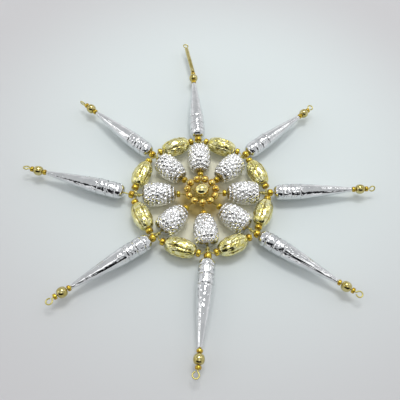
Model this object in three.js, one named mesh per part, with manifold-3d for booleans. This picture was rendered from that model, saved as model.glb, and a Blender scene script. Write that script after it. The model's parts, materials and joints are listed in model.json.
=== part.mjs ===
// Beaded star ornament: glass beads threaded on a frame of crossed and wrapped wires.
// Millimetres, +Z up. The star lies flat on its berry beads, with the hanging eye towards +Y.
// The origin is under the middle of the ornament's box, on the surface that it lies on.

import * as THREE from 'three';
import { mergeVertices } from 'three/addons/utils/BufferGeometryUtils.js';
import Module from 'manifold-3d';

const wasm = await Module();
wasm.setup();

// Wires
const spokeWireDiameter = 0.6;
const rimWireDiameter = 0.5;
const ringWireDiameter = 0.4;
const bindingWireDiameter = 0.4;
const wireSides = 5;
const wireCrossingGap = 0.25;

// Fits
const boreClearance = 0.27;
const beadGap = 0.25;
const seatGap = 0.3;

// Spokes in clockwise order from the top one, in degrees.
// The wires are bent by hand, so each spoke lies a little off its even place,
// each ray leans from its spoke where the rim crosses it, and each eye from its ray.
// The first eye is the hanging one, and the hanger's tube leans with it.
// A ray can have slid outwards on its wire by a millimetre or two.
const spokeOffsets = [-0.9, -1.1, -1.2, 1.0, 1.5, 0.4, 0.5, -1.0];
const rayLeans = [0.8, -5.9, 2.4, 6.9, -10.1, -12.8, -19.0, 1.6];
const raySlides = [0, 0, 0.4, 0, 0, 0, 2.2, 0];
const eyeLeans = [8, 15, 0, 0, -18, 15, 0, 10];
const eyeRolls = [10, 15, 62, 10, 0, 5, 25, 80];
const spokeCount = spokeOffsets.length;

// Hub: a ball in the middle of a ring of small beads
const centreBallDiameter = 5.8;
const hubBeadCount = 11;
const hubBeadDiameter = 3.2;
const hubBeadLength = 3.0;
const hubRingSlack = 0.45;
const hubStraightRun = 1.6;
const hubSlopeEnd = 8.6;
const hubTopWireHeight = -1.2;
const bindingEndGap = 1.2;
const bareWireAtHub = 1.4;

// Seed beads, fixed on the wires
const seedDiameter = 2.9;
const seedLength = 1.7;
const rimSeedDiameter = 3.2;
const rimSeedLength = 1.8;
const crossingSeedDiameter = 3.3;
const crossingSeedLength = 2.2;
const tipSeedDiameter = 2.4;
const tipSeedLength = 1.4;
const seedEndShare = 0.72;
const seedSides = 6;

// Berry beads
const berryLength = 14.4;
const berryDiameter = 10.7;
const berryWidestPlace = 0.6;
const berryNeckRadius = 1.5;
const berryRows = 7;
const berryColumns = 14;
const bumpHeight = 0.32;

// Oval beads on the rim
const ovalLength = 13.0;
const ovalDiameter = 8.0;
const ovalNeckRadius = 1.25;
const ovalLobes = 6;
const ovalRows = 5;
const creaseDepth = 0.34;

// Rays
const rayLength = 35.2;
const rayDiameter = 7.1;
const rayMouthRadius = 1.3;
const rayTipDiameter = 1.8;
const domeLength = 3.4;
const bandLengths = [3.7, 4.2];
const grooveDepth = 0.45;
const grooveHalfWidth = 0.4;
const taperBelly = 0.18;
const raySides = 9;

// Balls, eyes and the hanger's tube at the tips
const tipBallDiameter = 4.3;
const tipBallLength = 3.9;
const eyeDiameter = 3.0;
const eyeNeck = 0.5;
const eyeStartAngle = 150;
const eyeEndAngle = -130;
const eyeSteps = 6;
const hangerTubeLength = 17.8;
const hangerTubeDiameter = 2.0;
const hangerBendRoom = 0.9;

// Rim
const hookSpacing = 0.7;
const berryToHook = 1.8;
const ovalStandOff = 0.4;
const bendRoom = 0.45;
const hookStart = 60;
const hookStep = 80;
const hookSteps = 2;

// Wall of the blown beads
const glassWall = 0.55;

// Finishes
const silverGlass = new THREE.MeshStandardMaterial({ color: 0xdfe3e6, roughness: 0.08, metalness: 1.0 });
const goldGlass = new THREE.MeshStandardMaterial({ color: 0xd2c45a, roughness: 0.12, metalness: 1.0 });
const amberSeed = new THREE.MeshStandardMaterial({ color: 0xc79a1c, roughness: 0.18, metalness: 0.8 });
const giltWire = new THREE.MeshStandardMaterial({ color: 0xb9ab58, roughness: 0.35, metalness: 1.0 });

// Sizes that follow
const spokeWireRadius = spokeWireDiameter / 2;
const rimWireRadius = rimWireDiameter / 2;
const ringWireRadius = ringWireDiameter / 2;
const bindingWireRadius = bindingWireDiameter / 2;
const spokeBoreRadius = spokeWireRadius + boreClearance;
const rimBoreRadius = rimWireRadius + boreClearance;
const wireStackPitch = spokeWireDiameter + wireCrossingGap;
const hubRingRadius = hubBeadCount * (hubBeadLength + beadGap) / (2 * Math.PI) + hubRingSlack;
const hubSlope = -hubTopWireHeight / (hubSlopeEnd - hubStraightRun);
const hubWireAtRing = hubSlope * (hubRingRadius + hubBeadDiameter / 2 - hubSlopeEnd);
const hubRingHeight = hubWireAtRing + spokeWireRadius + seatGap + hubBeadDiameter / 2;
const centreBallHeight = hubTopWireHeight + spokeWireRadius + seatGap + centreBallDiameter / 2;
const innerSeedStart = hubRingRadius + hubBeadDiameter / 2 + bareWireAtHub;
const berryStart = innerSeedStart + seedLength + beadGap;
const berryEnd = berryStart + berryLength;
const innerHookRadius = berryEnd + berryToHook;
const outerHookRadius = innerHookRadius + hookSpacing;
const bendRadius = outerHookRadius + hookSpacing;
const hookFlatRadius = spokeWireRadius + wireCrossingGap + rimWireRadius;
const hookCoilRadius = hookFlatRadius / Math.cos(THREE.MathUtils.degToRad(hookStep / 2));
const hookReach = hookCoilRadius + rimWireRadius;
const crossingSeedStart = beadGap;
const rayStart = crossingSeedStart + crossingSeedLength + beadGap;
const innerTipSeedStart = rayStart + rayLength + beadGap;
const tipBallStart = innerTipSeedStart + tipSeedLength + beadGap;
const outerTipSeedStart = tipBallStart + tipBallLength + beadGap;
const tipEnd = outerTipSeedStart + tipSeedLength;
const eyeRadius = (eyeDiameter - spokeWireDiameter) / 2;

const radians = THREE.MathUtils.degToRad;
const spokeAngles = spokeOffsets.map((offset, i) => 90 - i * 360 / spokeCount + offset);

// Place of a point that is given along a spoke, across it and above it.
function onSpoke(index, along, across, height) {
  const angle = radians(spokeAngles[index]);
  return new THREE.Vector3(
    along * Math.cos(angle) - across * Math.sin(angle),
    along * Math.sin(angle) + across * Math.cos(angle),
    height,
  );
}

// A wire's centre line: straight between its stations, with mitred corners.
class WirePath extends THREE.Curve {
  constructor(stations) {
    super();
    this.stations = stations;
  }

  getUtoTmapping(u) {
    return u;
  }

  getPoint(t, target = new THREE.Vector3()) {
    const place = t * (this.stations.length - 1);
    const first = Math.min(Math.floor(place), this.stations.length - 2);
    return target.lerpVectors(this.stations[first], this.stations[first + 1], place - first);
  }

  getTangent(t, target = new THREE.Vector3()) {
    const last = this.stations.length - 1;
    const i = Math.round(t * last);
    const here = this.stations[i];
    const before = this.stations[Math.max(i - 1, 0)];
    const after = this.stations[Math.min(i + 1, last)];
    const arriving = here.clone().sub(before).normalize();
    const leaving = after.clone().sub(here).normalize();
    return target.addVectors(arriving, leaving).normalize();
  }
}

function wire(stations, diameter) {
  const section = new THREE.Shape();
  for (let i = 0; i < wireSides; i += 1) {
    const turn = i * 2 * Math.PI / wireSides;
    const x = diameter / 2 * Math.cos(turn);
    const y = diameter / 2 * Math.sin(turn);
    if (i === 0) section.moveTo(x, y);
    else section.lineTo(x, y);
  }
  section.closePath();
  const steps = stations.length - 1;
  return new THREE.ExtrudeGeometry(section, { steps, extrudePath: new WirePath(stations), curveSegments: 1 });
}

// A solid of revolution about +X whose profile closes on itself. Points are [along, radius].
function turned(profile, sides) {
  const points = [...profile, profile[0]].map(([along, radius]) => new THREE.Vector2(radius, along));
  return facesOut(new THREE.LatheGeometry(points, sides).rotateZ(-Math.PI / 2));
}

// A closed shell about +X made of rings. A ring is { along, radius }, and radius may depend on the column.
function ringShell(rings, columns) {
  const positions = [];
  const triangles = [];
  rings.forEach((ring, row) => {
    for (let column = 0; column < columns; column += 1) {
      const turn = column * 2 * Math.PI / columns;
      const radius = ring.radius(column);
      positions.push(ring.along, radius * Math.cos(turn), radius * Math.sin(turn));
      const nextRow = (row + 1) % rings.length;
      const nextColumn = (column + 1) % columns;
      const a = row * columns + column;
      const b = row * columns + nextColumn;
      const c = nextRow * columns + column;
      const d = nextRow * columns + nextColumn;
      if ((row + column) % 2 === 0) triangles.push(a, c, b, b, c, d);
      else triangles.push(a, c, d, a, d, b);
    }
  });
  const geometry = new THREE.BufferGeometry();
  geometry.setAttribute('position', new THREE.Float32BufferAttribute(positions, 3));
  geometry.setIndex(triangles);
  return facesOut(geometry);
}

// Turns the faces round where they point inwards.
function facesOut(geometry) {
  const corners = geometry.toNonIndexed().getAttribute('position');
  const [a, b, c] = [new THREE.Vector3(), new THREE.Vector3(), new THREE.Vector3()];
  let volume = 0;
  for (let i = 0; i < corners.count; i += 3) {
    a.fromBufferAttribute(corners, i);
    b.fromBufferAttribute(corners, i + 1);
    c.fromBufferAttribute(corners, i + 2);
    volume += a.dot(b.cross(c));
  }
  if (volume < 0) geometry.index.array.reverse();
  geometry.computeVertexNormals();
  return geometry;
}

function toSolid(geometry) {
  const bare = geometry.clone();
  bare.deleteAttribute('normal');
  bare.deleteAttribute('uv');
  const merged = mergeVertices(bare, 1e-4);
  const triVerts = merged.index.array;
  return new wasm.Manifold(new wasm.Mesh({
    numProp: 3,
    vertProperties: new Float32Array(merged.getAttribute('position').array),
    triVerts: new Uint32Array(triVerts),
  }));
}

function joined(geometries) {
  const solid = geometries.map(toSolid).reduce((whole, next) => whole.add(next));
  const result = solid.asOriginal().simplify(1e-3).getMesh();
  const geometry = new THREE.BufferGeometry();
  geometry.setAttribute('position', new THREE.BufferAttribute(result.vertProperties, 3));
  geometry.setIndex(new THREE.BufferAttribute(result.triVerts, 1));
  return geometry;
}

function named(name, geometry, material) {
  const mesh = new THREE.Mesh(geometry, material);
  mesh.name = name;
  return mesh;
}

// A seed bead that is fused to its wire: a short barrel about the line from start towards end.
function seed(start, end, length, diameter) {
  const radius = diameter / 2;
  const points = [[0, 0], [0, radius * seedEndShare], [length / 2, radius], [length, radius * seedEndShare], [length, 0]];
  const profile = points.map(([along, across]) => new THREE.Vector2(across, along));
  const barrel = facesOut(new THREE.LatheGeometry(profile, seedSides));
  const direction = end.clone().sub(start).normalize();
  barrel.applyQuaternion(new THREE.Quaternion().setFromUnitVectors(new THREE.Vector3(0, 1, 0), direction));
  return barrel.translate(start.x, start.y, start.z);
}

// Wires of the spokes

// A straight run from a corner on the wire, in the plane of the star.
function ahead(from, angle, distance) {
  return from.clone().add(new THREE.Vector3(distance * Math.cos(radians(angle)), distance * Math.sin(radians(angle)), 0));
}

// The round eye at a wire's end. It starts on the wire's line and is rolled about it.
function eyeStations(neck, angle, roll) {
  const stations = [];
  const forward = new THREE.Vector3(Math.cos(radians(angle)), Math.sin(radians(angle)), 0);
  const side = new THREE.Vector3(-forward.y, forward.x, 0).applyAxisAngle(forward, radians(roll));
  const centre = neck.clone().addScaledVector(forward, eyeRadius + spokeWireRadius);
  for (let i = 0; i <= eyeSteps; i += 1) {
    const turn = radians(THREE.MathUtils.lerp(eyeStartAngle, eyeEndAngle, i / eyeSteps));
    stations.push(centre.clone()
      .addScaledVector(forward, eyeRadius * Math.cos(turn))
      .addScaledVector(side, eyeRadius * Math.sin(turn)));
  }
  return stations;
}

function tipEndOf(index) {
  return raySlides[index] + (index === 0 ? tipEnd + hangerBendRoom : tipEnd);
}

// A half wire from the hub to its eye, and the seeds that sit on it.
function halfWire(index, height) {
  const rayAngle = spokeAngles[index] + rayLeans[index];
  const bend = onSpoke(index, bendRadius, 0, 0);
  const tip = ahead(bend, rayAngle, tipEndOf(index));
  const stations = [
    onSpoke(index, hubStraightRun, 0, height),
    onSpoke(index, hubSlopeEnd, 0, 0),
    bend,
    tip,
  ];
  const eyeAngle = rayAngle + eyeLeans[index];
  const tubeRoom = index === 0 ? beadGap + hangerTubeLength : 0;
  const neck = ahead(tip, eyeAngle, tubeRoom + eyeNeck);
  stations.push(neck, ...eyeStations(neck, eyeAngle, eyeRolls[index]));
  const seedAt = (distance, length, diameter) => {
    const start = ahead(bend, rayAngle, distance);
    return seed(start, ahead(start, rayAngle, length), length, diameter);
  };
  const innerSeed = onSpoke(index, innerSeedStart, 0, 0);
  const seeds = [
    seed(innerSeed, bend, seedLength, seedDiameter),
    seedAt(crossingSeedStart, crossingSeedLength, crossingSeedDiameter),
    seedAt(innerTipSeedStart + raySlides[index], tipSeedLength, tipSeedDiameter),
    seedAt(outerTipSeedStart + raySlides[index], tipSeedLength, tipSeedDiameter),
  ];
  return { stations, seeds };
}

// One straight wire makes two opposite spokes. The wires cross in a stack at the hub.
function crossWire(index) {
  const height = hubTopWireHeight - index * wireStackPitch;
  const near = halfWire(index, height);
  const far = halfWire(index + spokeCount / 2, height);
  const stations = [...near.stations.reverse(), ...far.stations];
  return joined([wire(stations, spokeWireDiameter), ...near.seeds, ...far.seeds]);
}

// Beads on the spokes

function eggRadius(share) {
  const widest = berryWidestPlace;
  const side = share < widest ? (widest - share) / widest : (share - widest) / (1 - widest);
  const roundness = share < widest ? 1.8 : 2.5;
  return berryNeckRadius + (berryDiameter / 2 - bumpHeight - berryNeckRadius) * (1 - side ** roundness) ** (1 / 2);
}

// Blown bead covered with staggered rows of small bumps.
function berryBead() {
  const rings = [
    { along: 0, radius: () => spokeBoreRadius },
    { along: 0, radius: () => berryNeckRadius },
  ];
  for (let row = 0; row < berryRows; row += 1) {
    const share = (row + 0.5) / berryRows;
    const fade = Math.min(1, 4 * Math.min(share, 1 - share));
    const radius = eggRadius(share);
    rings.push({
      along: share * berryLength,
      radius: (column) => radius + ((row + column) % 2 === 0 ? bumpHeight : -bumpHeight) * fade,
    });
  }
  const cavity = berryDiameter / 2 - 2 * bumpHeight - glassWall;
  rings.push(
    { along: berryLength, radius: () => berryNeckRadius },
    { along: berryLength, radius: () => spokeBoreRadius },
    { along: berryLength * 0.8, radius: () => cavity * 0.8 },
    { along: berryLength * 0.35, radius: () => cavity * 0.8 },
  );
  return ringShell(rings, berryColumns);
}

// Blown oval bead with lengthwise lobes parted by creases.
function ovalBead() {
  const columns = 2 * ovalLobes;
  const rings = [
    { along: -ovalLength / 2, radius: () => rimBoreRadius },
    { along: -ovalLength / 2, radius: () => ovalNeckRadius },
  ];
  for (let row = 0; row < ovalRows; row += 1) {
    const share = 2 * (row + 0.5) / ovalRows - 1;
    const radius = ovalNeckRadius + (ovalDiameter / 2 - ovalNeckRadius) * Math.sqrt(1 - share ** 2);
    const depth = creaseDepth * (1 - share ** 4);
    rings.push({
      along: share * ovalLength / 2,
      radius: (column) => (column % 2 === 0 ? radius : radius - depth),
    });
  }
  const cavity = ovalDiameter / 2 - creaseDepth - glassWall;
  rings.push(
    { along: ovalLength / 2, radius: () => ovalNeckRadius },
    { along: ovalLength / 2, radius: () => rimBoreRadius },
    { along: ovalLength * 0.28, radius: () => cavity * 0.75 },
    { along: -ovalLength * 0.28, radius: () => cavity * 0.75 },
  );
  return ringShell(rings, columns);
}

// Long blown ray: a dome, barrel bands parted by grooves, and a taper to a thin tip.
function rayBead() {
  const radius = rayDiameter / 2;
  const tipRadius = rayTipDiameter / 2;
  const grooves = [domeLength];
  bandLengths.forEach((length) => grooves.push(grooves.at(-1) + length));
  const profile = [
    [0, spokeBoreRadius],
    [0, rayMouthRadius],
    [domeLength * 0.22, radius * 0.74],
    [domeLength * 0.55, radius * 0.96],
  ];
  grooves.forEach((place) => {
    profile.push([place - grooveHalfWidth, radius]);
    profile.push([place, radius - grooveDepth]);
    profile.push([place + grooveHalfWidth, radius]);
  });
  const taperStart = grooves.at(-1) + grooveHalfWidth;
  const taperPoint = (share) => [
    THREE.MathUtils.lerp(taperStart, rayLength, share),
    THREE.MathUtils.lerp(radius, tipRadius, share) + taperBelly * Math.sin(Math.PI * share),
  ];
  const cavity = radius - grooveDepth - glassWall;
  profile.push(taperPoint(0.45), [rayLength, tipRadius], [rayLength, spokeBoreRadius]);
  profile.push([taperPoint(0.7)[0], tipRadius], [taperStart, cavity], [domeLength * 0.6, cavity * 0.9]);
  return turned(profile, raySides);
}

// A bead with a bore: half a round of points between its two flat ends.
function roundBead(length, diameter, boreRadius, sides, arcPoints) {
  const radius = diameter / 2;
  const profile = [[-length / 2, boreRadius]];
  for (let i = 0; i <= arcPoints; i += 1) {
    const share = 2 * i / arcPoints - 1;
    const along = share * length / 2;
    const endRadius = Math.max(radius * 0.36, boreRadius + 0.2);
    profile.push([along, endRadius + (radius - endRadius) * Math.sqrt(1 - share ** 2)]);
  }
  profile.push([length / 2, boreRadius]);
  return turned(profile, sides);
}

function spokeGroup(index) {
  const group = new THREE.Group();
  const number = index + 1;
  group.rotation.z = radians(spokeAngles[index]);
  const berry = named(`berry_bead_${number}`, berryBead(), silverGlass);
  berry.position.x = berryStart;
  const ray = named(`ray_${number}`, rayBead(), silverGlass);
  ray.position.x = rayStart + raySlides[index];
  const ball = roundBead(tipBallLength, tipBallDiameter, spokeBoreRadius, 8, 4);
  const tipBall = named(`tip_ball_${number}`, ball, goldGlass);
  tipBall.position.x = tipBallStart + raySlides[index] + tipBallLength / 2;
  const leaning = new THREE.Group();
  leaning.position.x = bendRadius;
  leaning.rotation.z = radians(rayLeans[index]);
  leaning.add(ray, tipBall);
  if (index === 0) leaning.add(hangerTube());
  group.add(berry, leaning);
  return group;
}

// Thin tube on the top spoke's wire, between the tip ball and the hanging eye.
function hangerTube() {
  const radius = hangerTubeDiameter / 2;
  const profile = [
    [0, spokeBoreRadius],
    [0, radius],
    [hangerTubeLength, radius],
    [hangerTubeLength, spokeBoreRadius],
  ];
  const holder = new THREE.Group();
  holder.position.x = tipEndOf(0);
  holder.rotation.z = radians(eyeLeans[0]);
  const tube = named('hanger_tube', turned(profile, 10), goldGlass);
  tube.position.x = beadGap;
  holder.add(tube);
  return holder;
}

// Rim: an oval bead between each two spokes, on a wire hooked round both

// Half the angle from a spoke to the next one, clockwise.
function halfSector(index) {
  const next = index + 1 < spokeCount ? spokeAngles[index + 1] : spokeAngles[0] - 360;
  return (spokeAngles[index] - next) / 2;
}

// The ovals stand far enough out for a hook beside each spoke, past the seeds at their ends.
const seedEnd = ovalLength / 2 + beadGap + rimSeedLength;
function ovalRadius(index) {
  const half = radians(halfSector(index));
  const room = hookReach + bendRoom + seedEnd * Math.cos(half);
  return Math.max(innerHookRadius + ovalStandOff, room / Math.sin(half));
}

// A hook's corners, from its cut end to where the wire leaves the spoke.
function hookStations(index, along, side) {
  const stations = [];
  for (let i = hookSteps; i >= 0; i -= 1) {
    const turn = radians(hookStart + i * hookStep);
    const across = side * hookCoilRadius * Math.cos(turn);
    stations.push(onSpoke(index, along, across, hookCoilRadius * Math.sin(turn)));
  }
  return stations;
}

// The wire of one side of the rim, with its two seeds.
function rimWire(index) {
  const next = (index + 1) % spokeCount;
  const middle = spokeAngles[index] - halfSector(index);
  const outward = new THREE.Vector3(Math.cos(radians(middle)), Math.sin(radians(middle)), 0);
  const clockwise = new THREE.Vector3(outward.y, -outward.x, 0);
  const onRim = (distance) => outward.clone().multiplyScalar(ovalRadius(index))
    .addScaledVector(clockwise, distance);
  const firstBend = onRim(-seedEnd - bendRoom);
  const lastBend = onRim(seedEnd + bendRoom);
  const firstHook = hookStations(index, innerHookRadius, -1);
  const lastHook = hookStations(next, outerHookRadius, 1).reverse();
  const firstLanding = onSpoke(index, innerHookRadius, -hookReach, 0);
  const lastLanding = onSpoke(next, outerHookRadius, hookReach, 0);
  const stations = [...firstHook, firstLanding, firstBend, lastBend, lastLanding, ...lastHook];
  const seeds = [
    seed(onRim(rimSeedLength - seedEnd), firstBend, rimSeedLength, rimSeedDiameter),
    seed(onRim(seedEnd - rimSeedLength), lastBend, rimSeedLength, rimSeedDiameter),
  ];
  return joined([wire(stations, rimWireDiameter), ...seeds]);
}

function rimGroup(index) {
  const group = new THREE.Group();
  const number = index + 1;
  const middle = spokeAngles[index] - halfSector(index);
  const oval = named(`oval_bead_${number}`, ovalBead(), goldGlass);
  oval.position.set(Math.cos(radians(middle)), Math.sin(radians(middle)), 0).multiplyScalar(ovalRadius(index));
  oval.rotation.z = radians(middle + 90);
  group.add(oval, named(`rim_wire_${number}`, rimWire(index), giltWire));
  return group;
}

// Hub

// Ring wire with as many straight sides as beads. Its twisted end hooks under the top spoke.
function hubRingWire() {
  const cornerRadius = hubRingRadius / Math.cos(Math.PI / hubBeadCount);
  const ring = new THREE.TorusGeometry(cornerRadius, ringWireRadius, wireSides, hubBeadCount);
  const corner = new THREE.Vector3(cornerRadius, 0, 0);
  const beside = spokeWireRadius + wireCrossingGap + ringWireRadius;
  const drop = hubRingHeight + beside;
  const outside = cornerRadius + hubBeadDiameter / 2 + ringWireRadius;
  const tail = wire([
    corner,
    new THREE.Vector3(outside - 0.4, 0, 0),
    new THREE.Vector3(outside, beside / 2, -0.4),
    new THREE.Vector3(outside, beside, -hubRingHeight),
    new THREE.Vector3(outside, beside / 2, -drop),
    new THREE.Vector3(outside, -beside / 2, -drop),
  ], ringWireDiameter);
  return joined([ring, tail]);
}

// The wire that holds the centre ball: through its bore, and under the crossed wires.
function bindingWire() {
  const reach = centreBallDiameter / 2 + seatGap + bindingWireRadius;
  const lowest = hubTopWireHeight - (spokeCount / 2 - 1) * wireStackPitch - spokeWireRadius;
  const under = lowest - wireCrossingGap - bindingWireRadius;
  const corner = centreBallHeight - 0.6;
  const half = [
    [bindingEndGap / 2, under],
    [reach - 0.9, under],
    [reach, under + 0.9],
    [reach, corner],
    [reach - 0.35, centreBallHeight],
  ];
  const right = half.map(([x, z]) => new THREE.Vector3(x, 0, z));
  const left = half.map(([x, z]) => new THREE.Vector3(-x, 0, z)).reverse();
  return wire([...right, ...left], bindingWireDiameter);
}

function hubGroup() {
  const hub = new THREE.Group();
  const ring = new THREE.Group();
  ring.position.z = hubRingHeight;
  ring.rotation.z = radians(spokeAngles[0]);
  ring.add(named('hub_ring_wire', hubRingWire(), giltWire));
  const ringBore = ringWireRadius + boreClearance;
  for (let i = 0; i < hubBeadCount; i += 1) {
    const bead = named(`hub_bead_${i + 1}`, roundBead(hubBeadLength, hubBeadDiameter, ringBore, 7, 3), amberSeed);
    const turn = (i + 0.5) * 2 * Math.PI / hubBeadCount;
    bead.position.set(hubRingRadius * Math.cos(turn), hubRingRadius * Math.sin(turn), 0);
    bead.rotation.z = turn + Math.PI / 2;
    ring.add(bead);
  }
  const middle = new THREE.Group();
  middle.rotation.z = radians(spokeAngles[1] - halfSector(1));
  const ballBore = bindingWireRadius + boreClearance;
  const ball = roundBead(centreBallDiameter, centreBallDiameter, ballBore, 12, 6);
  const centreBall = named('centre_ball', ball, goldGlass);
  centreBall.position.z = centreBallHeight;
  middle.add(centreBall, named('centre_binding_wire', bindingWire(), giltWire));
  hub.add(ring, middle);
  return hub;
}

const star = new THREE.Group();
star.add(hubGroup());
for (let index = 0; index < spokeCount / 2; index += 1) {
  star.add(named(`cross_wire_${index + 1}`, crossWire(index), giltWire));
}
for (let index = 0; index < spokeCount; index += 1) {
  star.add(spokeGroup(index), rimGroup(index));
}

// The origin goes under the middle of the whole.
const extent = new THREE.Box3().setFromObject(star, true);
const middle = extent.getCenter(new THREE.Vector3());
star.position.set(-middle.x, -middle.y, -extent.min.z);

const ornament = new THREE.Group();
ornament.add(star);

export default ornament;
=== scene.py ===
"""Beaded star ornament: blown and moulded glass beads on gilt wire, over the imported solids."""

import json
import logging
import math
from collections.abc import Callable, Iterable, Mapping, Sequence
from dataclasses import dataclass, field
from enum import Enum
from functools import partial
from typing import ClassVar

import bpy
import numpy as np
from mathutils import Matrix, Vector, noise


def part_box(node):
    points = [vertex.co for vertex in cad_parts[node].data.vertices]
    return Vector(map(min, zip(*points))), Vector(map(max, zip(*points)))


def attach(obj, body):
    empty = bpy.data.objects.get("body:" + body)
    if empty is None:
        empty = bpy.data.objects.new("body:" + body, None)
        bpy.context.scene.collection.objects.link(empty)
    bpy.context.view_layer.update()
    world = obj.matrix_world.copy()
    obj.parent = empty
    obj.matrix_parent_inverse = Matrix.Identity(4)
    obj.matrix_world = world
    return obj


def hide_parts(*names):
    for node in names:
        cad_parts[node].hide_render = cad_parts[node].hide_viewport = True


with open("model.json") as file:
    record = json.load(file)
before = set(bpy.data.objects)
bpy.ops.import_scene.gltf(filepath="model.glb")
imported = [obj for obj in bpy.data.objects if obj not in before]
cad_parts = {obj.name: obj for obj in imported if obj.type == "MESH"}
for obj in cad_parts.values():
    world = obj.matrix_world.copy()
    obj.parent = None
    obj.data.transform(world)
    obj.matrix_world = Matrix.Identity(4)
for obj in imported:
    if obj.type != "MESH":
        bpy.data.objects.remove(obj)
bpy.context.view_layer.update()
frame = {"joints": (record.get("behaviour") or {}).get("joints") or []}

LOG = logging.getLogger("beaded_star")

Colour = tuple[float, float, float]
Profile = list[tuple[float, float]]
Relief = Callable[[float, float], float]
Piece = bpy.types.Object
Mesh = bpy.types.Mesh
Tree = bpy.types.NodeTree
Node = bpy.types.Node
Socket = bpy.types.NodeSocket
Sockets = Mapping[str, Socket]
Feed = Socket | float | Sequence[float]

MM = 0.001
UP = Vector((0, 0, 1))
GOLDEN_TURN = math.pi * (3 - math.sqrt(5))
ROOT_BODY = "wire_frame"
RISE = "rise"
SPOKES = 8

# Sizes that the pieces share, in millimetres

BORE_RADIUS = 0.5
BORE_SKIN = 0.05
SPOKE_WIRE = 0.6
RIM_WIRE = 0.5
RING_WIRE = 0.4
WIRE_GAP = 0.25
BEAD_GAP = 0.25
BERRY_LENGTH = 14.4
BERRY_TO_HOOK = 1.8
HOOK_SPACING = 0.7
SEED_LENGTH = 1.7
SEED_DIAMETER = 2.9
CROSSING_LENGTH = 2.2
CROSSING_DIAMETER = 3.3
RIM_SEED_LENGTH = 1.8
RIM_SEED_DIAMETER = 3.2
TIP_SEED_LENGTH = 1.4
TIP_SEED_DIAMETER = 2.4
BALL_LENGTH = 3.9
OVAL_LENGTH = 13.0
TUBE_LENGTH = 17.8
EYE_RADIUS = 1.2
EYE_NECK = 0.5
HUB_TOP_WIRE = -1.2
HUB_STRAIGHT = 1.6
HUB_SLOPE_END = 8.6

# Each spoke's eye: how it leans from the ray's line, and how it is rolled about it, in degrees

EYE_LEANS = (8, 15, 0, 0, -18, 15, 0, 10)
EYE_ROLLS = (10, 15, 62, 10, 0, 5, 25, 80)


class Tone(Enum):
    """The finishes that a piece can have."""

    SILVER_SMOOTH = "silver_smooth"
    SILVER_BUMPY = "silver_bumpy"
    GOLD = "gold"
    PALE_GOLD = "pale_gold"
    WARM_GOLD = "warm_gold"
    AMBER = "amber"
    DEEP_AMBER = "deep_amber"
    WIRE = "wire"


class OvalEnd(Enum):
    """The two ends of an oval. The value is 1 clockwise of its middle, and -1 the other way."""

    NEAR = -1
    FAR = 1


# Shader nodes


def feed(node: Node, inputs: Mapping[str | int, Feed]) -> None:
    """Fills a node's inputs.

    Args:
        node: The node.
        inputs: What each input gets: a socket to link, or a value. A colour needs no alpha.
    """
    for key, value in inputs.items():
        socket = node.inputs[key]
        if isinstance(value, Socket):
            node.id_data.links.new(value, socket)
        else:
            socket.default_value = (*value, 1.0) if socket.type == "RGBA" else value


def add_node(tree: Tree, kind: str, inputs: Mapping[str | int, Feed] | None = None,
             **attributes: object) -> Node:
    """Adds a node.

    Args:
        tree: The tree that takes the node.
        kind: The node's type name, without the ShaderNode prefix.
        inputs: What its inputs get.
        **attributes: Its attributes, which are set first.

    Returns:
        The new node.
    """
    node = tree.nodes.new(f"ShaderNode{kind}")
    for key, value in attributes.items():
        setattr(node, key, value)
    feed(node, inputs or {})
    return node


def place_on(tree: Tree) -> Socket:
    """Adds the looked-at place in the piece's own frame."""
    return add_node(tree, "TexCoord").outputs["Object"]


def times(tree: Tree, first: Feed, second: Feed, clamp: bool = False) -> Socket:
    """Adds a product."""
    node = add_node(tree, "Math", {0: first, 1: second}, operation="MULTIPLY", use_clamp=clamp)
    return node.outputs[0]


def mixed(tree: Tree, factor: Feed, first: Feed, second: Feed) -> Socket:
    """Adds a mix of two colours, which is the first one at factor 0."""
    node = add_node(tree, "Mix", {"Factor": factor, "A": first, "B": second}, data_type="RGBA")
    return node.outputs["Result"]


def soft_step(tree: Tree, value: Socket, low: Feed, high: Feed, falls: bool = False) -> Socket:
    """Adds a soft step of a value.

    Args:
        tree: The tree.
        value: The value's socket.
        low: Where the step starts.
        high: Where it ends.
        falls: Whether it goes from 1 to 0, and not from 0 to 1.

    Returns:
        The step's socket.
    """
    start, end = (1.0, 0.0) if falls else (0.0, 1.0)
    step = {"Value": value, "From Min": low, "From Max": high, "To Min": start, "To Max": end}
    return add_node(tree, "MapRange", step, interpolation_type="SMOOTHSTEP").outputs["Result"]


def new_group(name: str, inputs: Mapping[str, float],
              outputs: Sequence[str]) -> tuple[Tree, Sockets]:
    """Makes an empty shader node group with float sockets.

    Args:
        name: The group's name.
        inputs: Each input's name and its default.
        outputs: The outputs' names.

    Returns:
        The group, and the sockets that give its inputs inside it.
    """
    tree = bpy.data.node_groups.new(name, "ShaderNodeTree")
    for label, value in inputs.items():
        socket = tree.interface.new_socket(
            name=label, in_out="INPUT", socket_type="NodeSocketFloat")
        socket.default_value = value
    for label in outputs:
        tree.interface.new_socket(name=label, in_out="OUTPUT", socket_type="NodeSocketFloat")
    tree.nodes.new("NodeGroupOutput").name = "out"
    return tree, tree.nodes.new("NodeGroupInput").outputs


def give(tree: Tree, **results: Socket) -> Tree:
    """Ends a group with what its outputs give."""
    feed(tree.nodes["out"], results)
    return tree


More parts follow.
